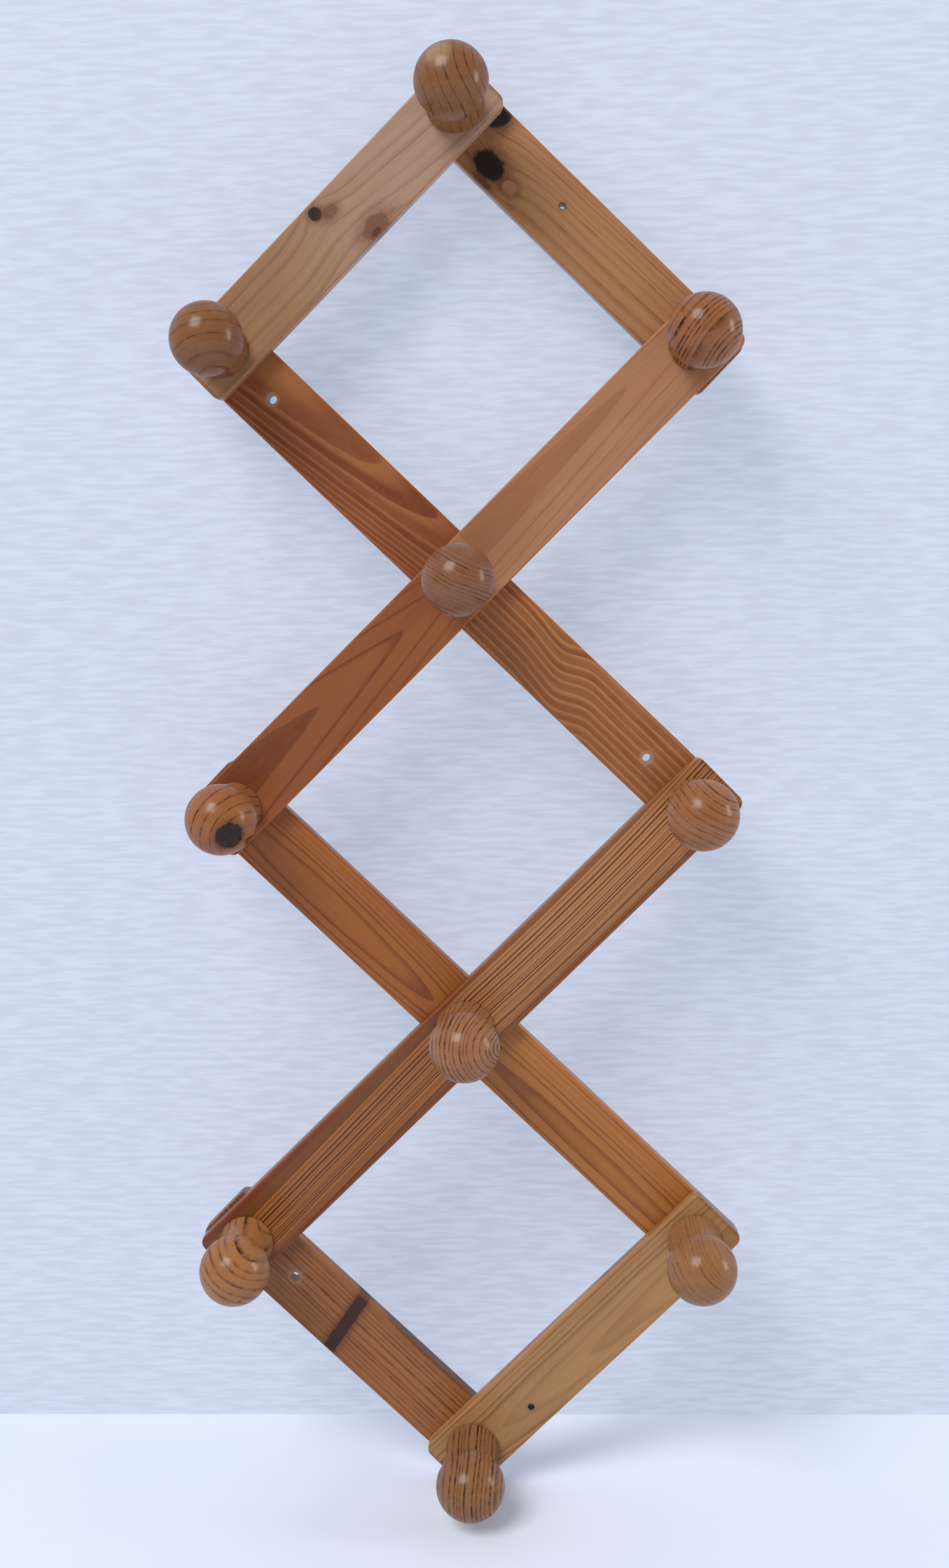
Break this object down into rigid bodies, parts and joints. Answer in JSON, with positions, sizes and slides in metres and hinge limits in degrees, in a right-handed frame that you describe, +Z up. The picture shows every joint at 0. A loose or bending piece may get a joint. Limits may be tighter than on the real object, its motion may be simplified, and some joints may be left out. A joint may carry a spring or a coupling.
{
  "type": "wall mounted expanding peg rack",
  "caption": "Expanding lattice wall rack of crossed pine slats in two layers, with a turned ball peg at every pivot; the slats fold together in a scissor motion.",
  "frame": {"origin": "on the wall plane, at the back of the long upper rear slat, straight above the upper centre pivot", "axes": "+X to the right along the wall, +Z up, +Y into the wall; the pegs point to -Y"},
  "size_m": [0.3218, 0.0836, 0.8376],
  "materials": {
    "pine_pale": "clear gloss varnish over pale pine",
    "pine_honey": "clear gloss varnish over honey pine",
    "pine_golden": "clear gloss varnish over golden pine",
    "pine_red_brown": "clear gloss varnish over red-brown heartwood pine",
    "pine_peg": "clear gloss varnish over turned pine",
    "zinc_steel": "zinc plated"
  },
  "bodies": {
    "rear_slat_2": {"rear_slat_2_long": "pine_red_brown"},
    "front_slat_2": {"front_slat_2_long": "pine_honey", "peg_left_2": "pine_peg", "washer_left_2": "zinc_steel", "screw_left_2": "zinc_steel", "peg_centre_1": "pine_peg", "washer_centre_1": "zinc_steel", "screw_centre_1": "zinc_steel", "peg_right_1": "pine_peg", "washer_right_1": "zinc_steel", "screw_right_1": "zinc_steel"},
    "front_slat_1": {"front_slat_1_short": "pine_pale", "peg_left_1": "pine_peg", "washer_left_1": "zinc_steel", "screw_left_1": "zinc_steel", "peg_top": "pine_peg", "washer_top": "zinc_steel", "screw_top": "zinc_steel"},
    "front_slat_3": {"front_slat_3_long": "pine_honey", "peg_left_3": "pine_peg", "washer_left_3": "zinc_steel", "screw_left_3": "zinc_steel", "peg_centre_2": "pine_peg", "washer_centre_2": "zinc_steel", "screw_centre_2": "zinc_steel", "peg_right_2": "pine_peg", "washer_right_2": "zinc_steel", "screw_right_2": "zinc_steel"},
    "rear_slat_1": {"rear_slat_1_short": "pine_golden"},
    "rear_slat_3": {"rear_slat_3_long": "pine_golden"},
    "front_slat_4": {"front_slat_4_short": "pine_pale", "peg_bottom": "pine_peg", "washer_bottom": "zinc_steel", "screw_bottom": "zinc_steel", "peg_right_3": "pine_peg", "washer_right_3": "zinc_steel", "screw_right_3": "zinc_steel"},
    "rear_slat_4": {"rear_slat_4_short": "pine_red_brown"}
  },
  "joints": [
    {"name": "lattice_fold", "type": "hinge", "parent": "rear_slat_2", "child": "front_slat_2", "pos_m": [0, -0.01015, -0.01877], "axis": [0, -1, 0], "range_deg": [-74, 74]},
    {"name": "pivot_left_1", "type": "hinge", "parent": "rear_slat_2", "child": "front_slat_1", "pos_m": [-0.13384, -0.01015, 0.11183], "axis": [0, -1, 0], "range_deg": [-74, 74]},
    {"name": "pivot_right_2", "type": "hinge", "parent": "rear_slat_2", "child": "front_slat_3", "pos_m": [0.13384, -0.01015, -0.14938], "axis": [0, -1, 0], "range_deg": [-74, 74]},
    {"name": "pivot_right_1", "type": "hinge", "parent": "front_slat_2", "child": "rear_slat_1", "pos_m": [0.13384, -0.01015, 0.11183], "axis": [0, 1, 0], "range_deg": [-74, 74]},
    {"name": "pivot_centre_2", "type": "hinge", "parent": "front_slat_3", "child": "rear_slat_3", "pos_m": [0, -0.01015, -0.27998], "axis": [0, 1, 0], "range_deg": [-74, 74]},
    {"name": "pivot_left_3", "type": "hinge", "parent": "front_slat_3", "child": "rear_slat_4", "pos_m": [-0.13384, -0.01015, -0.41058], "axis": [0, 1, 0], "range_deg": [-74, 74]},
    {"name": "pivot_right_3", "type": "hinge", "parent": "rear_slat_3", "child": "front_slat_4", "pos_m": [0.13384, -0.01015, -0.41058], "axis": [0, -1, 0], "range_deg": [-74, 74]}
  ],
  "couplings": [
    {"joint": "pivot_left_1", "follows": "lattice_fold", "ratio": 1},
    {"joint": "pivot_right_2", "follows": "lattice_fold", "ratio": 1},
    {"joint": "pivot_right_1", "follows": "lattice_fold", "ratio": 1},
    {"joint": "pivot_centre_2", "follows": "lattice_fold", "ratio": 1},
    {"joint": "pivot_left_3", "follows": "lattice_fold", "ratio": 1},
    {"joint": "pivot_right_3", "follows": "lattice_fold", "ratio": 1}
  ]
}
